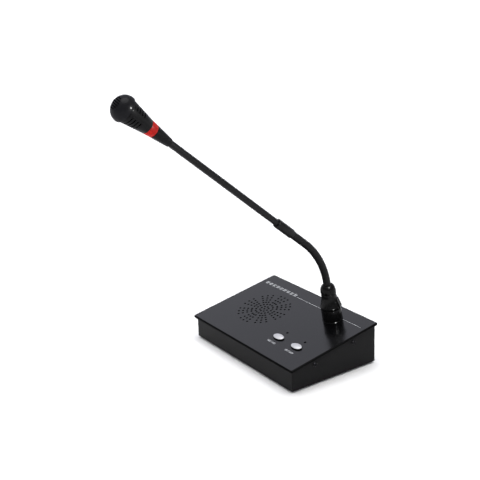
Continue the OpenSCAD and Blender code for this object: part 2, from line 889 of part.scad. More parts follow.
// Housing with a flared foot, a seat for the nose and a slot for the latch
module plug_housing() {
    seat_h = housing_low + nose_grip;
    press_in = (pivot_h - housing_low) * tan(latch_press);
    foot_floor = housing_d1 / 2 - latch_t - press_in - run_gap;
    pivot_floor = pivot_r - pivot_eye_r - run_gap;
    slot_top = latch_top + stop_gap;
    color(black_paint) on_mic() difference() {
        rotate_extrude()
            polygon([[0, housing_low], [housing_d1 / 2, housing_low],
                     [housing_d1 / 2, housing_low + housing_foot_l],
                     [housing_d2 / 2, housing_top - housing_neck_l], [housing_d2 / 2, housing_top],
                     [0, housing_top]]);
        translate([0, 0, housing_low - over]) cylinder(h = nose_grip + over, d = nose_d + 2 * slip);
        translate([0, 0, seat_h - over]) cylinder(h = housing_h, d = housing_bore);
        latch_plate(latch_w + 2 * stop_gap)
            polygon([[foot_floor, housing_low - over], [housing_d1, housing_low - over],
                     [housing_d1, slot_top],
                     [pivot_floor, slot_top], [pivot_floor, pivot_h]]);
        at_pivot(latch_w + 2 * (stop_gap + pivot_side)) circle(d = pivot_pin_d + 2 * thread_gap);
    }
}

// Extrudes a section drawn as radius and height, w wide, in the latch's direction
module latch_plate(w) {
    rotate([0, 0, latch_turn])
        translate([0, w / 2, 0]) rotate([90, 0, 0]) linear_extrude(w) children();
}

// Extrudes a section round the latch's pivot, w wide
module at_pivot(w) {
    latch_plate(w) translate([pivot_r, pivot_h]) children();
}

module latch_pin() {
    color(bright_steel) on_mic() at_pivot(latch_w + 2 * (stop_gap + pivot_side)) circle(d = pivot_pin_d);
}

// Lever that stands a little out of the housing and swings in when its lower end is pressed
module release_latch() {
    bend_h = housing_low + housing_foot_l;
    levels = [latch_low, bend_h, latch_top];
    outer = [for (h = levels) [housing_r(h) + latch_proud, h]];
    inner = [for (i = [2 : -1 : 0]) [housing_r(levels[i]) - latch_t, levels[i]]];
    color(black_plastic) on_mic() difference() {
        union() {
            latch_plate(latch_w) polygon(concat(outer, inner));
            at_pivot(latch_w) circle(r = pivot_eye_r);
        }
        at_pivot(latch_w + 2 * over) circle(d = pivot_pin_d + 2 * pivot_gap);
    }
}

module plug_nose() {
    color(bright_steel) on_mic(nose_low)
        tube(housing_low + nose_grip - nose_low, nose_d, nose_d - 2 * nose_wall);
}

module plug_insert() {
    insert_low = nose_low + 0.4;
    insert_l = contact_top - insert_low;
    color(black_plastic) on_mic(insert_low) difference() {
        cylinder(h = insert_l, d = nose_d - 2 * nose_wall - 2 * slip);
        at_pins() translate([0, 0, -over])
            cylinder(h = insert_l + 2 * over, d = pin_d + 2 * (stop_gap + contact_wall + thread_gap));
    }
}

module plug_contacts() {
    contact_low = nose_low + 0.9;
    bore_top = pin_top + 2;
    color(brass) on_mic() at_pins() difference() {
        translate([0, 0, contact_low])
            cylinder(h = contact_top - contact_low, d = pin_d + 2 * (stop_gap + contact_wall));
        translate([0, 0, contact_low - over])
            cylinder(h = bore_top - contact_low + over, d = pin_d + 2 * stop_gap);
    }
}

// Rubber boot with a rounded top, a spigot in the housing and a bore for the neck
module plug_boot() {
    spigot_low = housing_top - boot_spigot_l;
    spigot_r = housing_bore / 2 - slip;
    shoulder_l = 9.2;
    lip_l = 0.6;
    shoulder_h = boot_top - shoulder_l;
    crown_d = flex_d + 1;
    steps = 8;
    color(rubber_black) on_mic() difference() {
        rotate_extrude()
            polygon(concat([[0, spigot_low], [spigot_r, spigot_low],
                            [spigot_r, housing_top], [housing_d2 / 2, housing_top],
                            [boot_d / 2, housing_top + lip_l]],
                           [for (i = [0 : steps])
                               [crown_d / 2 + (boot_d - crown_d) / 2 * cos(i * 90 / steps),
                                shoulder_h + (boot_top - shoulder_h) * sin(i * 90 / steps)]],
                           [[0, boot_top]]));
        translate([0, 0, boot_top - flex_seat]) cylinder(h = flex_seat + over, d = flex_d + 2 * slip);
        translate([0, 0, spigot_low - over])
            cylinder(h = boot_h + boot_spigot_l, d = flex_bore);
    }
}

// Gooseneck

// Stretch i of the flexible neck; the first reaches into the boot, the last into the sleeve
module neck_flex(i) {
    s0 = flex_ends[i - 1] - (i == 1 ? flex_seat : 0);
    s1 = flex_ends[i] + (i == 4 ? flex_seat : 0);
    color(black_plastic) neck_stretch(s0, s1, flex_d, flex_bore);
}

module neck_flex_1() {
    neck_flex(1);
}

module neck_flex_2() {
    neck_flex(2);
}

module neck_flex_3() {
    neck_flex(3);
}

module neck_flex_4() {
    neck_flex(4);
}

// Sleeve bored for the flexible neck below and for the upper tube above
module neck_sleeve() {
    edge = 0.5;
    color(black_paint) along_neck(sleeve_s) difference() {
        union() {
            cylinder(h = edge, d1 = sleeve_d - 2 * edge, d2 = sleeve_d);
            translate([0, 0, edge]) cylinder(h = sleeve_l - 2 * edge, d = sleeve_d);
            translate([0, 0, sleeve_l - edge]) cylinder(h = edge, d1 = sleeve_d, d2 = sleeve_d - 2 * edge);
        }
        translate([0, 0, -over]) cylinder(h = flex_seat + over, d = flex_d + 2 * slip);
        translate([0, 0, -over]) cylinder(h = sleeve_l, d = flex_bore);
        translate([0, 0, sleeve_l - tube_seat]) cylinder(h = tube_seat + over, d = tube_d + 2 * slip);
    }
}

module upper_tube() {
    color(black_paint) along_neck(tube_s)
        translate([0, 0, -tube_seat]) tube(tube_l + 2 * tube_seat, tube_d, tube_d - 2 * tube_wall);
}

// Microphone head

// Tapered tail bored for the tube, with a core that carries the ring and the body
module head_tail() {
    color(black_paint) on_head() difference() {
        rotate_extrude()
            polygon([[0, 0], [tail_d / 2, 0], [ring_d1 / 2, ring_z], [core_d / 2, ring_z],
                     [core_d / 2, bell_z + core_grip], [0, bell_z + core_grip]]);
        translate([0, 0, -over]) cylinder(h = tube_seat + over, d = tube_d + 2 * slip);
        translate([0, 0, -over]) cylinder(h = bell_z + core_grip + 2 * over, d = core_bore);
    }
}

module indicator_ring() {
    color(ring_red) on_head() rotate_extrude()
        polygon([[ring_d1 / 2 - ring_wall, ring_z], [ring_d1 / 2, ring_z],
                 [ring_d2 / 2, bell_z], [ring_d1 / 2 - ring_wall, bell_z]]);
}

ring_board_t = 1.2;
ring_board_z = ring_z + 2;

module ring_board() {
    color(board_green) on_head(ring_board_z)
        tube(ring_board_t, ring_d1 - 2 * ring_wall - 2 * slip, core_d + 2 * slip);
}

module ring_lamps() {
    lamp_l = 0.9;
    lamp_w = 1.2;
    color([0.95, 0.85, 0.75]) on_head(ring_board_z + ring_board_t)
        for (a = [0 : 60 : 300])
            rotate([0, 0, a])
                translate([core_d / 2 + 0.5, -lamp_w / 2, 0]) cube([lamp_l, lamp_w, 0.7]);
}

// Flared body with a back wall on the core, rows of side slots and a front spigot
module head_body() {
    front_z = bell_top_z;
    inner_back = ring_d2 / 2 - head_wall;
    slot_z0 = front_z - 4.5;
    color(black_paint) on_head() difference() {
        rotate_extrude()
            polygon([[core_d / 2 + slip, bell_z], [ring_d2 / 2, bell_z], [bell_d / 2, front_z],
                     [spigot_d / 2, front_z], [spigot_d / 2, front_z + spigot_l],
                     [spigot_d / 2 - head_wall, front_z + spigot_l], [spigot_d / 2 - head_wall, front_z],
                     [inner_back + 0.8, bell_z + bell_back], [core_d / 2 + slip, bell_z + bell_back]]);
        for (row = [0 : bell_rows - 1], group = [0 : bell_groups - 1])
            rotate([0, 0, bell_slot_turn + group * 360 / bell_groups - bell_slot_deg / 2])
                translate([0, 0, slot_z0 - row * bell_slot_step - bell_slot_w])
                    rotate_extrude(angle = bell_slot_deg)
                        translate([ring_d2 / 2 - 0.5, 0]) square([bell_d / 2, bell_slot_w]);
    }
}

module capsule_mount() {
    color(rubber_black) on_head(bell_top_z)
        tube(spigot_l, spigot_d - 2 * head_wall - 2 * slip, capsule_d + 2 * slip);
}

module mic_capsule() {
    vent_d = 1.2;
    color(zinc) on_head(capsule_z) difference() {
        cylinder(h = capsule_l, d = capsule_d);
        for (a = [0 : 60 : 300])
            rotate([0, 0, a])
                translate([capsule_d / 4, 0, capsule_l - over]) cylinder(h = 2 * over, d = vent_d);
    }
}

// Foam pad between the capsule's face and the inside of the dome
module foam_disc() {
    foam_t = 2.4;
    low = capsule_z + capsule_l;
    rise = (low + foam_t - dome_top_z) / (dome_h - head_wall);
    color(dark_steel) on_head(low)
        cylinder(h = foam_t, r = (dome_d / 2 - head_wall) * sqrt(1 - rise * rise) - 2 * slip);
}

// Domed grille with straight slots across its front
module head_grille() {
    steps = 14;
    inner_r = dome_d / 2 - head_wall;
    inner_h = dome_h - head_wall;
    slot_pitch = dome_field_d / dome_slots;
    edge = 0.6;
    color(black_paint) on_head() difference() {
        rotate_extrude()
            polygon(concat([[spigot_d / 2 + slip, dome_z], [dome_d / 2 - edge, dome_z],
                            [dome_d / 2, dome_z + edge]],
                           [for (i = [0 : steps])
                               [dome_d / 2 * cos(i * 90 / steps),
                                dome_top_z + dome_h * sin(i * 90 / steps)]],
                           [for (i = [steps : -1 : 0])
                               [inner_r * cos(i * 90 / steps),
                                dome_top_z + inner_h * sin(i * 90 / steps)]],
                           [[spigot_d / 2 + slip, dome_top_z - edge]]));
        for (i = [0 : dome_slots - 1]) {
            y = (i - (dome_slots - 1) / 2) * slot_pitch;
            half = sqrt(pow(dome_field_d / 2, 2) - y * y);
            rotate([0, 0, dome_slot_turn])
                translate([-half, y - dome_slot_w / 2, dome_top_z + over])
                    cube([2 * half, dome_slot_w, dome_h]);
        }
    }
}

// Main board and rear jacks

module at_main_posts(z) {
    for (x = [main_x + post_inset, main_x + main_w - post_inset],
         y = [main_back - main_d + post_inset, main_back - post_inset])
        translate([x, y, z]) children();
}

module main_board() {
    color(board_green) difference() {
        translate([main_x, main_back - main_d, main_z]) cube([main_w, main_d, board_t]);
        at_main_posts(main_z - over) cylinder(h = board_t + 2 * over, d = board_screw_d + 2 * hole_gap);
    }
}

module main_board_posts() {
    color(brass) at_main_posts(floor_z) tube(main_post_h, post_d, board_screw_d + 2 * thread_gap);
}

module main_board_screws() {
    color(zinc) at_main_posts(main_top)
        pan_screw(board_screw_d, board_t + main_post_h - over, 2 * board_screw_d, 0.7 * board_screw_d);
}

// Network jack whose mouth is open at the back wall
module network_jack() {
    color(zinc) translate([net_x, jack_face, main_top]) difference() {
        translate([-net_w / 2, -net_l, 0]) cube([net_w, net_l, net_h]);
        translate([-net_mouth_w / 2, -net_mouth_l, net_lip])
            cube([net_mouth_w, net_mouth_l + over, net_mouth_h]);
    }
}

// Power jack with a centre pin in a round bore
module power_jack() {
    bore_l = 10;
    bore_z = power_h / 2;
    color(black_plastic) translate([power_x, jack_face, main_top]) union() {
        difference() {
            translate([-power_w / 2, -power_l, 0]) cube([power_w, power_l, power_h]);
            translate([0, over, bore_z]) rotate([90, 0, 0]) cylinder(h = bore_l + over, d = power_bore);
        }
        translate([0, -1.5, bore_z]) rotate([90, 0, 0]) cylinder(h = bore_l, d = power_pin_d);
    }
}

// Chips as [across, back from the front edge, width, depth, height]
chips = [[18, 14, 14, 14, 1.6], [46, 12, 9, 9, 1.4], [66, 16, 10, 6, 1.4], [20, 34, 8, 5, 1.4]];

module board_chips() {
    color(black_plastic)
        for (c = chips)
            translate([main_x + c[0] - c[2] / 2, main_back - main_d + c[1] - c[3] / 2, main_top])
                cube([c[2], c[3], c[4]]);
}

module board_capacitors() {
    can_d = 8;
    can_h = 11;
    can_step = 9.5;
    can_place = [40, 28];
    color(dark_steel)
        for (i = [0 : 2])
            translate([main_x + can_place[0] + i * can_step, main_back - main_d + can_place[1], main_top])
                cylinder(h = can_h, d = can_d);
}

chassis_tray();
top_panel();
panel_brackets();
side_screws();
base_pad();
speaker_gasket();
speaker_studs();
speaker_nuts();
speaker_frame();
speaker_top_plate();
speaker_magnet();
speaker_yoke();
speaker_surround();
speaker_spider();
speaker_cone();
voice_coil();
dust_cap();
button_cap_left();
button_cap_right();
switch_plunger_left();
switch_plunger_right();
switch_bodies();
panel_lamps();
switch_board();
switch_board_posts();
switch_board_screws();
mic_socket();
socket_nut();
socket_insert();
socket_pins();
plug_housing();
plug_nose();
plug_insert();
plug_contacts();
latch_pin();
release_latch();
plug_boot();
neck_flex_1();
neck_flex_2();
neck_flex_3();
neck_flex_4();
neck_sleeve();
upper_tube();
head_tail();
indicator_ring();
ring_board();
ring_lamps();
head_body();
capsule_mount();
mic_capsule();
foam_disc();
head_grille();
main_board();
main_board_posts();
main_board_screws();
network_jack();
power_jack();
board_chips();
board_capacitors();
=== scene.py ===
import bpy
import math
from mathutils import Matrix, Vector


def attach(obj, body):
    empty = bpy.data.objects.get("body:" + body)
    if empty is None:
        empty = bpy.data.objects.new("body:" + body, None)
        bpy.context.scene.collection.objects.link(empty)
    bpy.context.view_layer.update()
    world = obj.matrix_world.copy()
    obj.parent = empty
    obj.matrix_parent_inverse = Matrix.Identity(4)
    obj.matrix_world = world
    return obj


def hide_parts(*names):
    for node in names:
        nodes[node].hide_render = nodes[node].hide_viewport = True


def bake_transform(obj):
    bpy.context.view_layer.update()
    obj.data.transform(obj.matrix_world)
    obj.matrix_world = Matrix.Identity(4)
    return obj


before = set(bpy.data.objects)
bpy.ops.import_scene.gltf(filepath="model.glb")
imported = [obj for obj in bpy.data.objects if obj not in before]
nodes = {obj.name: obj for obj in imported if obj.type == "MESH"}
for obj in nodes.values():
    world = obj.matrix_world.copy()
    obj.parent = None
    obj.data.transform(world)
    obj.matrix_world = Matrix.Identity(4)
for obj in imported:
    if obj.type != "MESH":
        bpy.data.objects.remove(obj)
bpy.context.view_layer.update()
scene = bpy.context.scene
print("frame loaded:", len(nodes), "nodes")

mm = 0.001
weldGap = 0.000002  # points closer than this, in metres, are joined

# the same places as in the part's source, in metres
base = {
    "depth": 127 * mm,
    "frontHeight": 25.7 * mm,
    "backHeight": 48.3 * mm,
    "padHeight": 2 * mm,
    "panelThickness": 3.5 * mm,
}
slope = math.atan2(base["backHeight"] - base["frontHeight"], base["depth"])

neck = {
    "u": 52.2 * mm,
    "v": 103.195 * mm,
    "bootTop": 48.2 * mm,
    "rise": 51.1 * mm,
    "bendRadius": 96.6 * mm,
    "bend": math.radians(39.1),
    "run": 25.8 * mm,
    "sleeve": 27.8 * mm,
    "tube": 176.7 * mm,
    "flexRadius": 4.6 * mm,
    "seat": 5.6 * mm,  # how far the ends reach into the boot and the sleeve
}
neck["bendEnd"] = neck["rise"] + neck["bendRadius"] * neck["bend"]
neck["sleeveStart"] = neck["bendEnd"] + neck["run"]
neck["tubeStart"] = neck["sleeveStart"] + neck["sleeve"]
neck["headStart"] = neck["tubeStart"] + neck["tube"]


def onPanel(u, v, h=0.0):
    # u across, v up the slope from the front wall, h above the panel's top
    return (Matrix.Translation((0, -base["depth"] / 2, base["padHeight"] + base["frontHeight"]))
            @ Matrix.Rotation(slope, 4, "X")
            @ Matrix.Translation((u, v, base["panelThickness"] + h)))


def alongNeck(s):
    # s is the length along the neck's middle line from the panel's top
    bent = min(max(s - neck["rise"], 0), neck["bendRadius"] * neck["bend"]) / neck["bendRadius"]
    return (onPanel(neck["u"], neck["v"])
            @ Matrix.Translation((0, -neck["bendRadius"], min(s, neck["rise"])))
            @ Matrix.Rotation(bent, 4, "X")
            @ Matrix.Translation((0, neck["bendRadius"], max(s - neck["bendEnd"], 0))))


plugPlace = onPanel(neck["u"], neck["v"])
headPlace = alongNeck(neck["headStart"])

# modelling helpers

def only(obj):
    bpy.ops.object.select_all(action="DESELECT")
    obj.select_set(True)
    bpy.context.view_layer.objects.active = obj


def started(name):
    obj = bpy.context.object
    obj.name = name
    obj.data.name = name
    return obj


def settle(obj, place):
    # puts the piece in its place and leaves its object at the origin
    obj.matrix_world = place @ obj.matrix_world
    only(obj)
    bpy.ops.object.transform_apply(location=True, rotation=True, scale=True)


def smooth(obj, degrees=35):
    only(obj)
    bpy.ops.object.shade_smooth_by_angle(angle=math.radians(degrees))


def applyAll(obj):
    only(obj)
    for modifier in list(obj.modifiers):
        bpy.ops.object.modifier_apply(modifier=modifier.name)


def combine(obj, other, operation):
    # cuts the other shape out of the piece, or adds it, and deletes the other
    only(obj)
    bpy.ops.object.modifier_add(type="BOOLEAN")
    modifier = obj.modifiers[-1]
    modifier.operation = operation
    modifier.solver = "EXACT"
    modifier.object = other
    bpy.ops.object.modifier_apply(modifier=modifier.name)
    only(other)
    bpy.ops.object.delete()


def weldShut():
    # joins the active piece's seams and turns its faces outward
    bpy.ops.object.mode_set(mode="EDIT")
    bpy.ops.mesh.select_all(action="SELECT")
    bpy.ops.mesh.remove_doubles(threshold=weldGap)
    bpy.ops.mesh.normals_make_consistent(inside=False)
    bpy.ops.object.mode_set(mode="OBJECT")


def turned(name, profile, sides, closed=False):
    # a ring pulled up and resized step by step along (radius, height) pairs in millimetres
    steps = [(r * mm, z * mm) for r, z in profile]
    bpy.ops.object.select_all(action="DESELECT")
    radius, height = steps[0]
    bpy.ops.mesh.primitive_circle_add(vertices=sides, radius=radius, location=(0, 0, height))
    obj = started(name)
    bpy.ops.object.transform_apply(location=True, rotation=True, scale=True)
    bpy.ops.object.mode_set(mode="EDIT")
    bpy.ops.mesh.select_mode(type="VERT")
    bpy.ops.mesh.select_all(action="SELECT")
    if closed:
        bpy.ops.mesh.edge_face_add()
    for nextRadius, nextHeight in steps[1:]:
        bpy.ops.mesh.extrude_edges_move(TRANSFORM_OT_translate={"value": (0, 0, nextHeight - height)})
        growth = nextRadius / radius
        bpy.ops.transform.resize(value=(growth, growth, 1), center_override=(0, 0, nextHeight))
        radius, height = nextRadius, nextHeight
    if closed:
        bpy.ops.mesh.edge_face_add()
    bpy.ops.mesh.select_all(action="SELECT")
    bpy.ops.mesh.normals_make_consistent(inside=False)
    bpy.ops.object.mode_set(mode="OBJECT")
    return obj


def lathe(name, profile, sides=72):
    # a closed section, turned and welded shut
    obj = turned(name, profile + profile[:1], sides)
    weldShut()
    return obj


def boxCutter(name, size, place):
    # size in millimetres, place a matrix
    bpy.ops.object.select_all(action="DESELECT")
    bpy.ops.mesh.primitive_cube_add(size=1)
    obj = started(name)
    settle(obj, place @ Matrix.Diagonal((size[0] * mm, size[1] * mm, size[2] * mm, 1)))
    return obj


# parts of a section, as (radius, height) pairs

edgeSteps = 3


def rounding(r0, z0, r1, z1, steps):
    # quarter of an ellipse from (r0, z0) to (r1, z1)
    pairs = []
    for i in range(1, steps + 1):
        a = i / steps * math.pi / 2
        pairs.append((r1 + (r0 - r1) * math.cos(a), z0 + (z1 - z0) * math.sin(a)))
    return pairs


def edge(r, z, size, upward=True):
    # a small round over an outer corner, at the top or the foot of a piece
    pairs = []
    for i in range(edgeSteps + 1):
        a = i / edgeSteps * math.pi / 2
        if upward:
            pairs.append((r - size + size * math.cos(a), z - size + size * math.sin(a)))
        else:
            pairs.append((r - size + size * math.sin(a), z + size - size * math.cos(a)))
    return pairs


def beside(r, z, steps):
    # points near a corner, each so far outward and up from it
    return [(r + outward, z + up) for outward, up in steps]


# materials

noiseSpan = (0.3, 0.7)  # most of a noise's values lie between these


def newFinish(name, colour, roughness, metallic=0.0, specular=0.5, coat=0.0):
    finish = bpy.data.materials.new(name)
    finish.use_nodes = True
    shader = finish.node_tree.nodes["Principled BSDF"]
    shader.inputs["Base Color"].default_value = (*colour, 1)
    shader.inputs["Roughness"].default_value = roughness
    shader.inputs["Metallic"].default_value = metallic
    shader.inputs["Specular IOR Level"].default_value = specular
    shader.inputs["Coat Weight"].default_value = coat
    shader.inputs["Coat Roughness"].default_value = 0.16
    return finish, finish.node_tree, shader


def addNode(tree, kind, **settings):
    made = tree.nodes.new(kind)
    for key, value in settings.items():
        setattr(made, key, value)
    return made


def noiseField(tree, scale, detail):
    where = addNode(tree, "ShaderNodeTexCoord")
    noise = addNode(tree, "ShaderNodeTexNoise")
    noise.inputs["Scale"].default_value = scale
    noise.inputs["Detail"].default_value = detail
    tree.links.new(where.outputs["Object"], noise.inputs["Vector"])
    return noise


def varyColour(tree, shader, noise, dark, light):
    ramp = addNode(tree, "ShaderNodeValToRGB")
    for stop, position, colour in zip(ramp.color_ramp.elements, noiseSpan, (dark, light)):
        stop.position = position
        stop.color = (*colour, 1)
    tree.links.new(noise.outputs["Fac"], ramp.inputs["Fac"])
    tree.links.new(ramp.outputs["Color"], shader.inputs["Base Color"])


def varyRoughness(tree, shader, noise, low, high):
    spread = addNode(tree, "ShaderNodeMapRange")
    spread.inputs["From Min"].default_value, spread.inputs["From Max"].default_value = noiseSpan
    spread.inputs["To Min"].default_value = low
    spread.inputs["To Max"].default_value = high
    tree.links.new(noise.outputs["Fac"], spread.inputs["Value"])
    tree.links.new(spread.outputs["Result"], shader.inputs["Roughness"])


def addBump(tree, shader, noise, strength, distance):
    bump = addNode(tree, "ShaderNodeBump")
    bump.inputs["Strength"].default_value = strength
    bump.inputs["Distance"].default_value = distance
    tree.links.new(noise.outputs["Fac"], bump.inputs["Height"])
    tree.links.new(bump.outputs["Normal"], shader.inputs["Normal"])


def paintFinish(name, dark, light, roughness, grain, bump, specular=0.5, coat=0.0):
    # sprayed paint: a fine orange peel and a slow drift in colour and gloss
    finish, tree, shader = newFinish(name, light, roughness, specular=specular, coat=coat)
    drift = noiseField(tree, scale=18, detail=2)
    peel = noiseField(tree, grain, detail=3)
    varyColour(tree, shader, drift, dark, light)
    varyRoughness(tree, shader, drift, low=roughness - 0.02, high=roughness + 0.03)
    addBump(tree, shader, peel, bump, distance=0.00004)
    return finish


def plainFinish(name, dark, light, roughness, grain, bump, specular=0.5, coat=0.0):
    finish, tree, shader = newFinish(name, light, roughness, specular=specular, coat=coat)
    speck = noiseField(tree, grain, detail=4)
    varyColour(tree, shader, speck, dark, light)
    varyRoughness(tree, shader, speck, low=roughness - 0.05, high=roughness + 0.05)
    addBump(tree, shader, speck, bump, distance=0.00005)
    return finish


def metalFinish(name, dark, light, roughness):
    finish, tree, shader = newFinish(name, light, roughness, metallic=1.0)
    grain = noiseField(tree, scale=900, detail=4)
    varyColour(tree, shader, grain, dark, light)
    varyRoughness(tree, shader, grain, low=roughness - 0.06, high=roughness + 0.08)
    addBump(tree, shader, grain, strength=0.05, distance=0.00003)
    return finish


paints = {
    "casePaint": {"dark": (0.0042, 0.0042, 0.0046), "light": (0.0058, 0.0058, 0.0063), "roughness": 0.42,
                  "grain": 1600, "bump": 0.12, "specular": 0.09},
    "panelPaint": {"dark": (0.0011, 0.0011, 0.0014), "light": (0.0016, 0.0016, 0.002), "roughness": 0.2,
                   "grain": 1400, "bump": 0.02},
    "panelEdge": {"dark": (0.001, 0.001, 0.0011), "light": (0.0016, 0.0016, 0.0018), "roughness": 0.5,
                  "grain": 1400, "bump": 0.05, "specular": 0.03},
    "plugBlack": {"dark": (0.0030, 0.0030, 0.0033), "light": (0.0044, 0.0044, 0.0048), "roughness": 0.34,
                  "grain": 1500, "bump": 0.04, "specular": 0.03, "coat": 0.2},
    "stemBlack": {"dark": (0.0036, 0.0036, 0.0039), "light": (0.0052, 0.0052, 0.0057), "roughness": 0.32,
                  "grain": 1500, "bump": 0.04, "specular": 0.16},
    "headBlack": {"dark": (0.0038, 0.0038, 0.0042), "light": (0.0052, 0.0052, 0.0058), "roughness": 0.4,
                  "grain": 1500, "bump": 0.04, "specular": 0.035, "coat": 0.12},
    "grilleBlack": {"dark": (0.0090, 0.0090, 0.0106), "light": (0.0120, 0.0120, 0.0140), "roughness": 0.42,
                    "grain": 1500, "bump": 0.04, "specular": 0.03, "coat": 0.09},
}
plains = {
    "neckSkin": {"dark": (0.0034, 0.0034, 0.0036), "light": (0.0050, 0.0050, 0.0053), "roughness": 0.42,
                 "grain": 900, "bump": 0.08, "specular": 0.13},
    "rubber": {"dark": (0.0016, 0.0016, 0.0018), "light": (0.0026, 0.0026, 0.0028), "roughness": 0.4,
               "grain": 800, "bump": 0.06, "specular": 0.03, "coat": 0.2},
    "padRubber": {"dark": (0.008, 0.008, 0.008), "light": (0.014, 0.014, 0.014), "roughness": 0.7,
                  "grain": 500, "bump": 0.3, "specular": 0.3},
    "blackPlastic": {"dark": (0.004, 0.004, 0.0045), "light": (0.007, 0.007, 0.0075), "roughness": 0.42,
                     "grain": 900, "bump": 0.12, "specular": 0.3},
    "foam": {"dark": (0.002, 0.002, 0.002), "light": (0.006, 0.006, 0.006), "roughness": 0.95,
             "grain": 1200, "bump": 0.8, "specular": 0.1},
    "paper": {"dark": (0.004, 0.004, 0.0045), "light": (0.010, 0.010, 0.011), "roughness": 0.9,
              "grain": 600, "bump": 0.4, "specular": 0.2},
    "cloth": {"dark": (0.36, 0.26, 0.12), "light": (0.55, 0.42, 0.22), "roughness": 0.9,
              "grain": 900, "bump": 0.5},
    "ferrite": {"dark": (0.020, 0.020, 0.022), "light": (0.040, 0.040, 0.043), "roughness": 0.7,
                "grain": 500, "bump": 0.3},
    "board": {"dark": (0.010, 0.090, 0.035), "light": (0.018, 0.130, 0.055), "roughness": 0.4,
              "grain": 300, "bump": 0.1},
    "lampLens": {"dark": (0.0014, 0.0006, 0.0006), "light": (0.0024, 0.0009, 0.0009), "roughness": 0.2,
                 "grain": 300, "bump": 0.02, "specular": 0.02},
    "lampWhite": {"dark": (0.70, 0.66, 0.58), "light": (0.82, 0.78, 0.70), "roughness": 0.3,
                  "grain": 300, "bump": 0.05},
    "canSleeve": {"dark": (0.012, 0.014, 0.030), "light": (0.020, 0.024, 0.050), "roughness": 0.35,
                  "grain": 300, "bump": 0.05},
    # painted shade: near-black sides with no gloss for the button caps, standing in for the shadowed rim
    # round each cap
    "capPaintedShade": {"dark": (0.0006, 0.0006, 0.0006), "light": (0.001, 0.001, 0.001), "roughness": 0.8,
                "grain": 900, "bump": 0.1, "specular": 0.0},
    "printWhite": {"dark": (0.42, 0.43, 0.45), "light": (0.54, 0.55, 0.57), "roughness": 0.6,
                   "grain": 900, "bump": 0.1, "specular": 0.2},
}
metals = {
    "zinc": {"dark": (0.46, 0.47, 0.48), "light": (0.62, 0.63, 0.64), "roughness": 0.38},
    "nickel": {"dark": (0.62, 0.62, 0.63), "light": (0.74, 0.74, 0.75), "roughness": 0.22},
    "blackSteel": {"dark": (0.010, 0.010, 0.011), "light": (0.020, 0.020, 0.022), "roughness": 0.40},
    "brass": {"dark": (0.60, 0.43, 0.16), "light": (0.78, 0.60, 0.28), "roughness": 0.3},
}


def ringFinish():
    # tinted plastic that lets a little light into it
    finish, tree, shader = newFinish("ringRed", (0.47, 0.009, 0.006), roughness=0.34, specular=0.1)
    drift = noiseField(tree, scale=220, detail=2)
    varyColour(tree, shader, drift, dark=(0.43, 0.008, 0.005), light=(0.51, 0.011, 0.008))
    shader.inputs["Subsurface Weight"].default_value = 0.15
    shader.inputs["Subsurface Radius"].default_value = (0.004, 0.001, 0.001)
    shader.inputs["Subsurface Scale"].default_value = 0.4
    return finish


def silverFinish():
    # metallic paint with a fine flake
    finish, tree, shader = newFinish("silverPaint", (0.53, 0.53, 0.545), roughness=0.46, metallic=0.7)
    flake = noiseField(tree, scale=2600, detail=2)
    varyColour(tree, shader, flake, dark=(0.47, 0.47, 0.485), light=(0.58, 0.58, 0.595))
    addBump(tree, shader, flake, strength=0.04, distance=0.00003)
    return finish


finishes = {"ringRed": ringFinish(), "silverPaint": silverFinish()}
for maker, rows in ((paintFinish, paints), (plainFinish, plains), (metalFinish, metals)):
    for finish, settings in rows.items():
        finishes[finish] = maker(finish, **settings)

nodeFinish = {
    "casePaint": ["chassis_tray"],
    "panelPaint": ["top_panel"],
    "plugBlack": ["mic_socket", "plug_housing", "release_latch"],
    "stemBlack": ["neck_sleeve", "upper_tube"],
    "headBlack": ["head_tail", "head_body"],
    "grilleBlack": ["head_grille"],
    "neckSkin": ["neck_flex_1", "neck_flex_2", "neck_flex_3", "neck_flex_4"],
    "rubber": ["plug_boot", "capsule_mount", "speaker_surround"],
    "padRubber": ["base_pad"],
    "foam": ["speaker_gasket", "foam_disc"],
    "silverPaint": ["button_cap_left", "button_cap_right"],
    "blackPlastic": ["switch_bodies", "switch_plunger_left", "switch_plunger_right", "socket_insert",
                     "plug_insert", "power_jack", "board_chips"],
    "zinc": ["panel_brackets", "speaker_studs", "speaker_nuts", "speaker_frame", "speaker_yoke", "socket_nut",
             "switch_board_screws", "main_board_screws", "network_jack", "mic_capsule"],
    "nickel": ["plug_nose", "latch_pin"],
    "blackSteel": ["side_screws", "speaker_top_plate"],
    "ferrite": ["speaker_magnet"],
    "brass": ["socket_pins", "plug_contacts", "switch_board_posts", "main_board_posts", "voice_coil"],
    "paper": ["speaker_cone", "dust_cap"],
    "cloth": ["speaker_spider"],
    "board": ["switch_board", "main_board", "ring_board"],
    "lampLens": ["panel_lamps"],
    "lampWhite": ["ring_lamps"],
    "ringRed": ["indicator_ring"],
    "canSleeve": ["board_capacitors"],
}


def dress(obj, finish):
    obj.data.materials.clear()
    obj.data.materials.append(finishes[finish])


for finish, members in nodeFinish.items():
    for member in members:
        dress(nodes[member], finish)
print("finishes on the nodes:", sum(len(m) for m in nodeFinish.values()))

# camera, at the photo's angle

view = {
    "place": (0.89186, -0.66502, 0.53597),
    "azimuth": math.radians(55.84),
    "elevation": math.radians(19.23),
    "roll": math.radians(-2.24),
    "lens": 72.675,
}


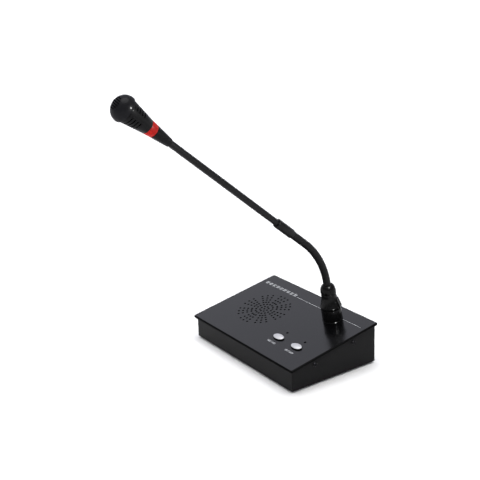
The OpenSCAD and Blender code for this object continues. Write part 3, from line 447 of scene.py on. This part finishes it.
def addCamera():
    a, e, roll = view["azimuth"], view["elevation"], view["roll"]
    back = Vector((math.sin(a) * math.cos(e), -math.cos(a) * math.cos(e), math.sin(e)))
    level = Vector((math.cos(a), math.sin(a), 0))
    upright = back.cross(level)
    right = math.cos(roll) * level + math.sin(roll) * upright
    up = -math.sin(roll) * level + math.cos(roll) * upright
    turn = Matrix((right, up, back)).transposed().to_4x4()
    bpy.ops.object.camera_add(location=(0, 0, 0))
    camera = bpy.context.object
    camera.name = "photoCamera"
    camera.matrix_world = Matrix.Translation(view["place"]) @ turn
    camera.data.lens = view["lens"]
    camera.data.sensor_width = 36
    camera.data.clip_start = 0.02
    camera.data.clip_end = 50
    scene.camera = camera


addCamera()
print("camera set")

# floor and light

studio = {
    "floorSize": 30.0,
    "floorColour": (0.93, 0.93, 0.93),
    "room": (0.42, 0.42, 0.43),  # dim on the camera's side
    "screen": (0.74, 0.75, 0.84),  # pale screen behind the object, which the panel mirrors
    "screenSide": (-0.88, 0.47, 0.0),
    "screenEdge": (0.15, 0.55),
    "softBox": (5.2, 5.2, 5.2),  # light overhead
    "softBoxEdge": (0.86, 0.95),  # the sines of the heights where it starts and is full
}
keyLight = {"place": (0.386, -0.057, 0.424), "target": (0.06, -0.06, 0.18), "size": 0.07, "power": 4.2}


def addFloor():
    bpy.ops.object.select_all(action="DESELECT")
    bpy.ops.mesh.primitive_plane_add(size=studio["floorSize"], location=(0, 0, 0))
    floor = started("studioFloor")
    paper = newFinish("floorPaper", studio["floorColour"], roughness=0.9, specular=0.1)[0]
    floor.data.materials.append(paper)


def addKeyLight():
    k = keyLight
    bpy.ops.object.light_add(type="AREA", location=k["place"])
    lamp = bpy.context.object
    lamp.name = "keyLight"
    lamp.data.shape = "SQUARE"
    lamp.data.size = k["size"]
    lamp.data.energy = k["power"]
    aim = Vector(k["target"]) - Vector(k["place"])
    lamp.rotation_euler = aim.to_track_quat("-Z", "Y").to_euler()
    lamp.visible_camera = False
    lamp.visible_diffuse = False  # gives the small glints only


def blendedSky(tree, value, edges, low, high):
    # goes from low to high as the value crosses the edges
    fade = addNode(tree, "ShaderNodeMapRange", interpolation_type="SMOOTHSTEP")
    fade.inputs["From Min"].default_value, fade.inputs["From Max"].default_value = edges
    blend = addNode(tree, "ShaderNodeMix", data_type="RGBA")
    tree.links.new(value, fade.inputs["Value"])
    tree.links.new(fade.outputs["Result"], blend.inputs[0])
    for colour, entry in ((low, blend.inputs[6]), (high, blend.inputs[7])):  # the two colours of the mix
        if isinstance(colour, tuple):
            entry.default_value = (*colour, 1)
        else:
            tree.links.new(colour, entry)
    return blend.outputs[2]


def addSky():
    sky = bpy.data.worlds.new("studioSky")
    scene.world = sky
    sky.use_nodes = True
    tree = sky.node_tree
    where = addNode(tree, "ShaderNodeTexCoord")
    side = addNode(tree, "ShaderNodeVectorMath", operation="DOT_PRODUCT")
    side.inputs[1].default_value = studio["screenSide"]
    height = addNode(tree, "ShaderNodeSeparateXYZ")
    tree.links.new(where.outputs["Generated"], side.inputs[0])
    tree.links.new(where.outputs["Generated"], height.inputs["Vector"])
    around = blendedSky(tree, side.outputs["Value"], studio["screenEdge"], studio["room"], studio["screen"])
    overall = blendedSky(tree, height.outputs["Z"], studio["softBoxEdge"], around, studio["softBox"])
    tree.links.new(overall, tree.nodes["Background"].inputs["Color"])


addFloor()
addSky()
addKeyLight()
scene.view_settings.view_transform = "Standard"
print("studio set")

# flexible neck, in the four pieces that the hinges join

flex = {"sides": 40, "step": 2.2 * mm, "leastTurn": 1e-7, "smooth": 40}
bendStep = (neck["bendEnd"] - neck["bootTop"]) / 3
flexEnds = [neck["bootTop"] + k * bendStep for k in range(3)] + [neck["bendEnd"], neck["sleeveStart"]]
flexCount = len(flexEnds) - 1


def addFlex(i):
    low = flexEnds[i] - (neck["seat"] if i == 0 else 0)
    high = flexEnds[i + 1] + (neck["seat"] if i == flexCount - 1 else 0)
    count = round((high - low) / flex["step"])
    bpy.ops.object.select_all(action="DESELECT")
    bpy.ops.mesh.primitive_circle_add(vertices=flex["sides"], radius=neck["flexRadius"], location=(0, 0, 0))
    obj = started("neckFlex%d" % (i + 1))
    here = alongNeck(low)
    settle(obj, here)
    bpy.ops.object.mode_set(mode="EDIT")
    bpy.ops.mesh.select_mode(type="VERT")
    bpy.ops.mesh.select_all(action="SELECT")
    for k in range(1, count + 1):
        there = alongNeck(low + (high - low) * k / count)
        middle = there.translation
        bpy.ops.mesh.extrude_edges_move(TRANSFORM_OT_translate={"value": middle - here.translation})
        turn = (here.to_3x3().inverted() @ there.to_3x3()).to_euler().x
        if abs(turn) > flex["leastTurn"]:  # with no window the operator turns the other way
            bpy.ops.transform.rotate(value=-turn, orient_axis="X", center_override=middle)
        here = there
    bpy.ops.mesh.select_all(action="SELECT")
    bpy.ops.mesh.normals_make_consistent(inside=False)
    bpy.ops.object.mode_set(mode="OBJECT")
    smooth(obj, flex["smooth"])
    dress(obj, "neckSkin")
    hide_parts("neck_flex_%d" % (i + 1))
    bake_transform(obj)


for piece in range(flexCount):
    addFlex(piece)
print("neck made")

# round pieces of the plug and the head, in millimetres along their own axis

def handOver(obj, finish, slot, body, *replaced):
    dress(obj, finish)
    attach(obj, body)
    if replaced:
        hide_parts(*replaced)


def putOn(obj, place, finish, slot, body, *replaced):
    smooth(obj)
    settle(obj, place)
    handOver(obj, finish, slot, body, *replaced)


socket = {"ringRadius": 12.8, "ringHeight": 1.0, "ringFoot": 0.2, "ringSlope": 0.48, "radius": 12.4,
          "height": 16.0, "edge": 0.5, "bore": 9.9, "mouth": 0.3, "below": 18.0, "threadRadius": 11.75}


def addSocket():
    s = socket
    profile = [(s["threadRadius"], -s["below"]), (s["threadRadius"], 0),
               (s["ringRadius"] - s["ringFoot"], 0), (s["ringRadius"], s["ringFoot"]),
               (s["ringRadius"], s["ringHeight"] - s["ringSlope"]), (s["radius"], s["ringHeight"])]
    profile += edge(s["radius"], s["height"], s["edge"])
    profile += [(s["bore"] + s["mouth"], s["height"]), (s["bore"], s["height"] - s["mouth"]),
                (s["bore"], -s["below"])]
    putOn(lathe("micSocket", profile), plugPlace, "plugBlack", "satin_black", "base", "mic_socket")


housing = {"low": 16.4, "foot": 20.0, "neck": 32.0, "top": 37.0, "footRadius": 12.7, "neckRadius": 9.2,
           "footEdge": 0.5, "topEdge": 0.25, "ledge": 0.45, "ledgeFall": 0.5355, "ease": 1.2,
           "noseBore": 9.65, "noseSeat": 21.4, "bore": 7.7, "sides": 96}
latchSlot = {"turn": 34, "width": 7.6, "low": 15.4, "footFloor": 10.03, "pivotHeight": 26.0,
             "pivotFloor": 7.25, "top": 29.8, "reach": 20.0}


def latchCutter():
    # a box whose floor slopes with the latch
    s = latchSlot
    middle = ((s["pivotFloor"] + s["reach"] / 2) * mm, 0, (s["low"] + s["top"]) / 2 * mm)
    size = (s["reach"], s["width"], s["top"] - s["low"])
    cutter = boxCutter("latchCutter", size, Matrix.Translation(middle))
    bpy.ops.object.mode_set(mode="EDIT")
    bpy.ops.mesh.select_all(action="SELECT")
    bpy.ops.mesh.bisect(plane_co=(s["pivotFloor"] * mm, 0, s["pivotHeight"] * mm),
                        plane_no=(s["low"] - s["pivotHeight"], 0, s["pivotFloor"] - s["footFloor"]),
                        use_fill=True, clear_outer=True)
    bpy.ops.object.mode_set(mode="OBJECT")
    settle(cutter, Matrix.Rotation(math.radians(s["turn"]), 4, "Z"))
    return cutter


def addHousing():
    h = housing
    ledgeRadius = h["footRadius"] - h["ledge"]
    profile = [(h["noseBore"], h["low"])] + edge(h["footRadius"], h["low"], h["footEdge"], False)
    profile += [(h["footRadius"], h["foot"] - h["ledgeFall"]), (ledgeRadius, h["foot"])]
    fall = (ledgeRadius - h["neckRadius"]) / (h["neck"] - h["foot"])
    for t in (-1, -0.5, 0, 0.5, 1):  # eases the bend where the cone ends
        profile += [(h["neckRadius"] + fall * h["ease"] * (1 - t) ** 2 / 4, h["neck"] + t * h["ease"])]
    profile += edge(h["neckRadius"], h["top"], h["topEdge"])
    profile += [(h["bore"], h["top"]), (h["bore"], h["noseSeat"]), (h["noseBore"], h["noseSeat"])]
    obj = lathe("plugHousing", profile, h["sides"])
    combine(obj, latchCutter(), "DIFFERENCE")
    putOn(obj, plugPlace, "plugBlack", "satin_black", "microphone", "plug_housing")


boot = {"low": housing["top"], "top": neck["bootTop"] / mm, "radius": 9.4, "shoulder": 9.2, "crown": 5.1,
        "crownSteps": 14, "neckHole": 4.75, "spigot": 7.55, "spigotLength": 4.0, "seat": 6.0, "wireHole": 2.5,
        "foot": ((-0.4, 0), (-0.18, 0.1), (-0.06, 0.3), (0, 0.6)), "mouth": ((0.1, 0), (0, -0.15))}


def addBoot():
    b = boot
    spigotLow, shoulder, seat = b["low"] - b["spigotLength"], b["top"] - b["shoulder"], b["top"] - b["seat"]
    profile = [(b["wireHole"], spigotLow), (b["spigot"], spigotLow), (b["spigot"], b["low"])]
    profile += beside(b["radius"], b["low"], b["foot"]) + [(b["radius"], shoulder)]
    profile += rounding(b["radius"], shoulder, b["crown"], b["top"], b["crownSteps"])
    profile += beside(b["neckHole"], b["top"], b["mouth"]) + [(b["neckHole"], seat), (b["wireHole"], seat)]
    putOn(lathe("plugBoot", profile), plugPlace, "rubber", "rubber", "microphone", "plug_boot")


head = {"tailStart": 4.8, "ring0": 7.35, "ring1": 8.35, "ringWall": 1.6, "tail": 23.0, "ring": 31.9,
        "front": 62.3, "bell": 13.2, "spigot": 12.0, "spigotLength": 4.0, "wall": 1.3, "backWall": 0.5,
        "core": 3.4, "coreBore": 2.2, "coreGrip": 4.0, "fit": 0.15, "tubeHole": 4.05, "tubeSeat": 8.0,
        "back": 4.5, "sides": 96}
tailCorners = {"mouth": ((0, 0.2), (0.15, 0.05)), "start": ((-0.3, 0), (-0.1, 0.1), (0, 0.35)),
               "end": ((-0.03, -0.3), (-0.15, -0.1), (-0.35, 0))}


def addTail():
    h, c = head, tailCorners
    coreEnd = h["ring"] + h["coreGrip"]
    profile = [(h["tubeHole"], h["tubeSeat"])] + beside(h["tubeHole"], 0, c["mouth"])
    profile += beside(h["tailStart"], 0, c["start"]) + beside(h["ring0"], h["tail"], c["end"])
    profile += [(h["core"], h["tail"]), (h["core"], coreEnd), (h["coreBore"], coreEnd),
                (h["coreBore"], h["tubeSeat"])]
    putOn(lathe("headTail", profile), headPlace, "headBlack", "satin_black", "neck_top", "head_tail")


ringCorners = {"gap": 0.05, "low": ((-0.25, 0.05), (-0.05, 0.12), (0.03, 0.3)), "bend": 0.3,
               "high": ((-0.1, -0.12), (-0.3, -0.05))}


def addRing():
    h, c = head, ringCorners
    inside = h["ring0"] - h["ringWall"]
    slant = (h["ring1"] - h["ring0"]) / (h["ring"] - h["tail"])
    profile = [(inside, h["tail"] + c["gap"])] + beside(h["ring0"], h["tail"], c["low"])
    profile += [(h["ring1"] - slant * c["bend"], h["ring"] - c["bend"])]
    profile += beside(h["ring1"], h["ring"], c["high"]) + [(inside, h["ring"] - c["gap"])]
    putOn(lathe("indicatorRing", profile), headPlace, "ringRed", "ring_red", "neck_top", "indicator_ring")


bodyCorners = {"low": ((-0.3, 0), (-0.1, 0.1)), "lowBend": 0.35, "highBend": 0.5,
               "high": ((-0.15, -0.15), (-0.5, 0))}
sideSlots = {"rows": 4, "step": 4.0, "width": 1.3, "back": 4.5, "groups": 3, "angle": 82, "turn": 60,
             "inward": 0.5, "outward": 2.0, "spinSteps": 16}


def slotCutter(low, top, middle):
    # part of a ring that cuts one side slot, made by spinning a small rectangle
    s = sideSlots
    bpy.ops.object.select_all(action="DESELECT")
    bpy.ops.mesh.primitive_plane_add(size=1)
    obj = started("slotCutter")
    start = math.radians(middle + s["angle"] / 2)  # spin turns clockwise from here
    near, far = (head["ring1"] - s["inward"]) * mm, (head["bell"] + s["outward"]) * mm
    settle(obj, Matrix.Rotation(start, 4, "Z")
           @ Matrix.Translation(((near + far) / 2, 0, (low + top) / 2 * mm))
           @ Matrix.Rotation(math.pi / 2, 4, "X")
           @ Matrix.Diagonal((far - near, (top - low) * mm, 1, 1)))
    bpy.ops.object.mode_set(mode="EDIT")
    bpy.ops.mesh.select_all(action="SELECT")
    bpy.ops.mesh.spin(steps=s["spinSteps"], angle=math.radians(s["angle"]), center=(0, 0, 0), axis=(0, 0, 1))
    bpy.ops.object.mode_set(mode="OBJECT")
    weldShut()
    return obj


def addBody():
    h, c, s = head, bodyCorners, sideSlots
    slant = (h["bell"] - h["ring1"]) / (h["front"] - h["ring"])
    coreHole, inside = h["core"] + h["fit"], h["spigot"] - h["wall"]
    spigotEnd, cavityLow = h["front"] + h["spigotLength"], h["ring"] + h["back"]
    profile = [(coreHole, h["ring"])] + beside(h["ring1"], h["ring"], c["low"])
    profile += [(h["ring1"] + slant * c["lowBend"], h["ring"] + c["lowBend"]),
                (h["bell"] - slant * c["highBend"], h["front"] - c["highBend"])]
    profile += beside(h["bell"], h["front"], c["high"])
    profile += [(h["spigot"], h["front"]), (h["spigot"], spigotEnd), (inside, spigotEnd),
                (inside, h["front"]), (h["ring1"] - h["backWall"], cavityLow), (coreHole, cavityLow)]
    obj = lathe("headBody", profile, h["sides"])
    for row in range(s["rows"]):
        top = h["front"] - s["back"] - row * s["step"]
        for group in range(s["groups"]):
            cutter = slotCutter(top - s["width"], top, s["turn"] + 360 / s["groups"] * group)
            combine(obj, cutter, "DIFFERENCE")
    putOn(obj, headPlace, "headBlack", "satin_black", "neck_top", "head_body")


lining = {"low": 42.6, "high": 60.0, "gap": 0.08, "thickness": 0.5}


def addLining():
    # a thin sleeve of foam behind the side slots, against the inside of the body
    h, c = head, lining
    foot, cavityLow = h["ring1"] - h["backWall"], h["ring"] + h["back"]
    slant = (h["spigot"] - h["wall"] - foot) / (h["front"] - cavityLow)
    lowRadius, highRadius = [foot + slant * (z - cavityLow) - c["gap"] for z in (c["low"], c["high"])]
    profile = [(lowRadius, c["low"]), (highRadius, c["high"]), (highRadius - c["thickness"], c["high"]),
               (lowRadius - c["thickness"], c["low"])]
    putOn(lathe("slotLining", profile, h["sides"]), headPlace, "foam", "foam", "neck_top")


grille = {"low": 63.0, "skirt": 1.5, "radius": 14.6, "height": 12.8, "wall": 1.3, "edge": 0.6, "seat": 0.6,
          "pole": 0.6, "outerSteps": 24, "innerSteps": 18, "slots": 6, "slotWidth": 1.1, "slotRise": 1.0,
          "field": 14.6, "turn": -12}


def addGrille():
    g, h = grille, head
    top = g["low"] + g["skirt"]
    inner = g["radius"] - g["wall"]
    innerHeight = g["height"] - g["wall"]
    hole = h["spigot"] + h["fit"]
    arc = [k / g["innerSteps"] * math.pi / 2 for k in range(g["innerSteps"] - 1, 0, -1)]
    profile = [(inner * math.cos(a), top + innerHeight * math.sin(a)) for a in arc]
    profile += [(inner, top), (hole, top - g["seat"]), (hole, g["low"])]
    profile += edge(g["radius"], g["low"], g["edge"], False) + [(g["radius"], top)]
    profile += rounding(g["radius"], top, g["pole"], top + g["height"], g["outerSteps"])
    obj = turned("headGrille", profile, h["sides"], closed=True)
    pitch = g["field"] / g["slots"]
    for i in range(g["slots"]):
        y = (i - (g["slots"] - 1) / 2) * pitch
        half = math.sqrt((g["field"] / 2) ** 2 - y * y)
        place = (Matrix.Rotation(math.radians(g["turn"]), 4, "Z")
                 @ Matrix.Translation((0, y * mm, (top + g["slotRise"] + g["height"] / 2) * mm)))
        cutter = boxCutter("grilleCutter", (2 * half, g["slotWidth"], g["height"]), place)
        combine(obj, cutter, "DIFFERENCE")
    putOn(obj, headPlace, "grilleBlack", "satin_black", "neck_top", "head_grille")


sleeve = {"length": neck["sleeve"] / mm, "radius": 5.5, "edge": 0.5, "neckHole": 4.75, "tubeHole": 4.05,
          "mouth": 0.1, "seat": 6.0, "tubeSeat": 8.0, "wireHole": 2.5, "sides": 48}


def addSleeve():
    s = sleeve
    seat = s["length"] - s["tubeSeat"]
    profile = [(s["wireHole"], s["seat"]), (s["neckHole"], s["seat"]), (s["neckHole"], s["mouth"]),
               (s["neckHole"] + s["mouth"], 0)]
    profile += edge(s["radius"], 0, s["edge"], False) + edge(s["radius"], s["length"], s["edge"])
    profile += [(s["tubeHole"] + s["mouth"], s["length"]), (s["tubeHole"], s["length"] - s["mouth"]),
                (s["tubeHole"], seat), (s["wireHole"], seat)]
    putOn(lathe("neckSleeve", profile, s["sides"]), alongNeck(neck["sleeveStart"]),
          "stemBlack", "satin_black", "neck_top", "neck_sleeve")


tube = {"length": neck["tube"] / mm, "radius": 3.9, "bore": 2.9, "seat": 8.0, "sides": 48}


def addTube():
    t = tube
    low, high = -t["seat"], t["length"] + t["seat"]
    profile = [(t["bore"], low), (t["radius"], low), (t["radius"], high), (t["bore"], high)]
    putOn(lathe("upperTube", profile, t["sides"]), alongNeck(neck["tubeStart"]),
          "stemBlack", "satin_black", "neck_top", "upper_tube")


addSocket()
addHousing()
addBoot()
addTail()
addRing()
addBody()
addLining()
addGrille()
addSleeve()
addTube()
print("plug, neck and head made")

# oval button caps, one modelled and copied

button = {"u": 50.1, "pitch": 34.6, "v": 33.7, "length": 17.0, "width": 10.0, "rise": 2.8, "wall": 1.35,
          "edge": 0.35, "edgeSteps": 4, "dome": (0.15, 0.35, 0.55, 0.75, 0.95), "sides": 64, "smooth": 40,
          "flangeTop": -3.8, "flangeLow": -5.0, "flangeLip": 1.8,
          "stemRadius": 2.3, "stemLow": -8.5, "stemSink": 0.4, "stemSides": 32,
          "faceUp": 0.85}  # faces that look up more than this are silver


def paintCapSideShade(obj):
    # painted shade: the cap's sides and lower rounding, below the silver face, are near-black with no gloss,
    # standing in for the shadowed rim round the button
    obj.data.materials.append(finishes["capPaintedShade"])
    toPanel = onPanel(0, 0).inverted()
    for face in obj.data.polygons:
        looksUp = (toPanel.to_3x3() @ face.normal).z > button["faceUp"]
        face.material_index = 0 if looksUp and (toPanel @ face.center).z > 0 else 1


def addCaps():
    b = button
    half = b["length"] / 2
    lip = half + b["flangeLip"]
    face, brow = half - b["edge"], b["wall"] + b["edge"]
    profile = [(lip, b["flangeLow"]), (lip, b["flangeTop"]), (half, b["flangeTop"]), (half, 0),
               (half, b["wall"])]
    profile += rounding(half, b["wall"], face, brow, b["edgeSteps"])
    profile += [(face * (1 - t), b["rise"] - (b["rise"] - brow) * (1 - t) ** 2) for t in b["dome"]]
    cap = turned("buttonCapLeft", profile, b["sides"], closed=True)
    settle(cap, Matrix.Diagonal((1, b["width"] / b["length"], 1, 1)))
    stemProfile = [(b["stemRadius"], b["stemLow"]), (b["stemRadius"], b["flangeLow"] + b["stemSink"])]
    combine(cap, turned("capStem", stemProfile, b["stemSides"], closed=True), "UNION")
    smooth(cap, b["smooth"])
    bpy.ops.object.duplicate(linked=False)
    twin = started("buttonCapRight")
    for obj, side, name in ((cap, -1, "left"), (twin, 1, "right")):
        settle(obj, onPanel((b["u"] + side * b["pitch"] / 2) * mm, b["v"] * mm))
        handOver(obj, "silverPaint", "silver", "button_" + name, "button_cap_" + name)
        paintCapSideShade(obj)


addCaps()
print("buttons made")

# plain print on the panel: a row of ticks, a line and a number under each button

ink = {"low": 0.01, "thickness": 0.03}
ticks = {"u": -94.0, "v": 111.8, "count": 3, "pitch": 1.7, "groups": 9, "groupPitch": 7.4, "width": 0.9,
         "height": 5.0}
line = {"start": -27.0, "end": 96.4, "v": 109.9, "width": 0.5}
label = {"v": 22.15, "digit": 4.0, "strokes": 4, "strokePitch": 1.5, "strokeWidth": 0.75,
         "strokeHeight": 2.8, "gap": 2.3}


def addMark(name, u, v, width, height, rows=()):
    # one mark of ink, repeated along the panel
    bpy.ops.object.select_all(action="DESELECT")
    bpy.ops.mesh.primitive_plane_add(size=1)
    obj = started(name)
    settle(obj, Matrix.Translation((0, 0, ink["low"] * mm))
           @ Matrix.Diagonal((width * mm, height * mm, 1, 1)))
    bpy.ops.object.mode_set(mode="EDIT")
    bpy.ops.mesh.select_all(action="SELECT")
    bpy.ops.mesh.extrude_region_move(TRANSFORM_OT_translate={"value": (0, 0, ink["thickness"] * mm)})
    bpy.ops.mesh.select_all(action="SELECT")
    bpy.ops.mesh.normals_make_consistent(inside=False)
    bpy.ops.object.mode_set(mode="OBJECT")
    for count, pitch in rows:
        bpy.ops.object.modifier_add(type="ARRAY")
        row = obj.modifiers[-1]
        row.count = count
        row.use_relative_offset = False
        row.use_constant_offset = True
        row.constant_offset_displace = (pitch * mm, 0, 0)
    applyAll(obj)
    settle(obj, onPanel(u * mm, v * mm))
    return obj


def addDigit(name, body, u, v):
    bpy.ops.object.select_all(action="DESELECT")
    bpy.ops.object.text_add(location=(0, 0, 0))
    obj = started(name)
    obj.data.body = body
    obj.data.size = label["digit"] * mm
    obj.data.align_x = "CENTER"
    obj.data.align_y = "CENTER"
    obj.data.extrude = ink["thickness"] / 2 * mm
    only(obj)
    bpy.ops.object.convert(target="MESH")
    settle(obj, onPanel(u * mm, v * mm, (ink["low"] + ink["thickness"] / 2) * mm))
    return obj


def addPrint():
    t, d, b = ticks, label, button
    tickRows = ((t["count"], t["pitch"]), (t["groups"], t["groupPitch"]))
    lineMiddle, lineLength = (line["start"] + line["end"]) / 2, line["end"] - line["start"]
    marks = [addMark("scaleMarks", t["u"], t["v"], t["width"], t["height"], tickRows),
             addMark("backLine", lineMiddle, line["v"], lineLength, line["width"])]
    strokeRows = ((d["strokes"], d["strokePitch"]),)
    span = (d["strokes"] - 1) * d["strokePitch"]
    for number, side in (("1", -1), ("2", 1)):
        middle = b["u"] + side * b["pitch"] / 2
        for start in (middle - d["gap"] - span, middle + d["gap"]):
            marks.append(addMark("labelStrokes", start, d["v"], d["strokeWidth"], d["strokeHeight"],
                                 strokeRows))
        marks.append(addDigit("labelDigit", number, middle, d["v"]))
    bpy.ops.object.select_all(action="DESELECT")
    for mark in marks:
        mark.select_set(True)
    bpy.context.view_layer.objects.active = marks[0]
    bpy.ops.object.join()
    obj = started("panelPrint")
    dress(obj, "printWhite")
    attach(obj, "base")


addPrint()
print("print made")

# top panel: the frame's own shape, with a matt edge round its glossy face

panel = {"flat": 0.999, "smooth": 30}  # flat: how far a face of the top looks up, as a cosine


def addPanel():
    only(nodes["top_panel"])
    bpy.ops.object.duplicate(linked=False)
    obj = started("topPanel")
    for key in list(obj.keys()):
        del obj[key]
    obj.data.materials.clear()
    obj.data.materials.append(finishes["panelEdge"])
    obj.data.materials.append(finishes["panelPaint"])
    upright = onPanel(0, 0).to_3x3().col[2]
    bpy.ops.object.mode_set(mode="EDIT")
    bpy.ops.mesh.select_mode(type="FACE")
    bpy.ops.mesh.select_all(action="SELECT")
    bpy.ops.mesh.remove_doubles(threshold=weldGap)
    bpy.ops.mesh.customdata_custom_splitnormals_clear()
    bpy.ops.mesh.select_all(action="DESELECT")
    bpy.ops.object.mode_set(mode="OBJECT")
    smooth(obj, panel["smooth"])
    for face in obj.data.polygons:
        face.select = face.normal.dot(upright) > panel["flat"]
    bpy.ops.object.mode_set(mode="EDIT")
    obj.active_material_index = 1
    bpy.ops.object.material_slot_assign()
    bpy.ops.mesh.faces_shade_flat()
    bpy.ops.object.mode_set(mode="OBJECT")
    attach(obj, "base")
    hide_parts("top_panel")


addPanel()
print("panel made")

# small rounds on the edges of the nodes that stay as they are, with their widths

softEdges = {"chassis_tray": 0.3, "release_latch": 0.35, "side_screws": 0.2, "network_jack": 0.2,
             "power_jack": 0.2, "base_pad": 0.4, "panel_lamps": 0.15}


def soften(name, width):
    node = nodes[name]
    weld = node.modifiers.new("weld", "WELD")
    weld.merge_threshold = weldGap
    bevel = node.modifiers.new("round", "BEVEL")
    bevel.width = width * mm
    bevel.segments = 2
    bevel.limit_method = "ANGLE"
    bevel.angle_limit = math.radians(40)


for name, width in softEdges.items():
    soften(name, width)
print("edges softened")
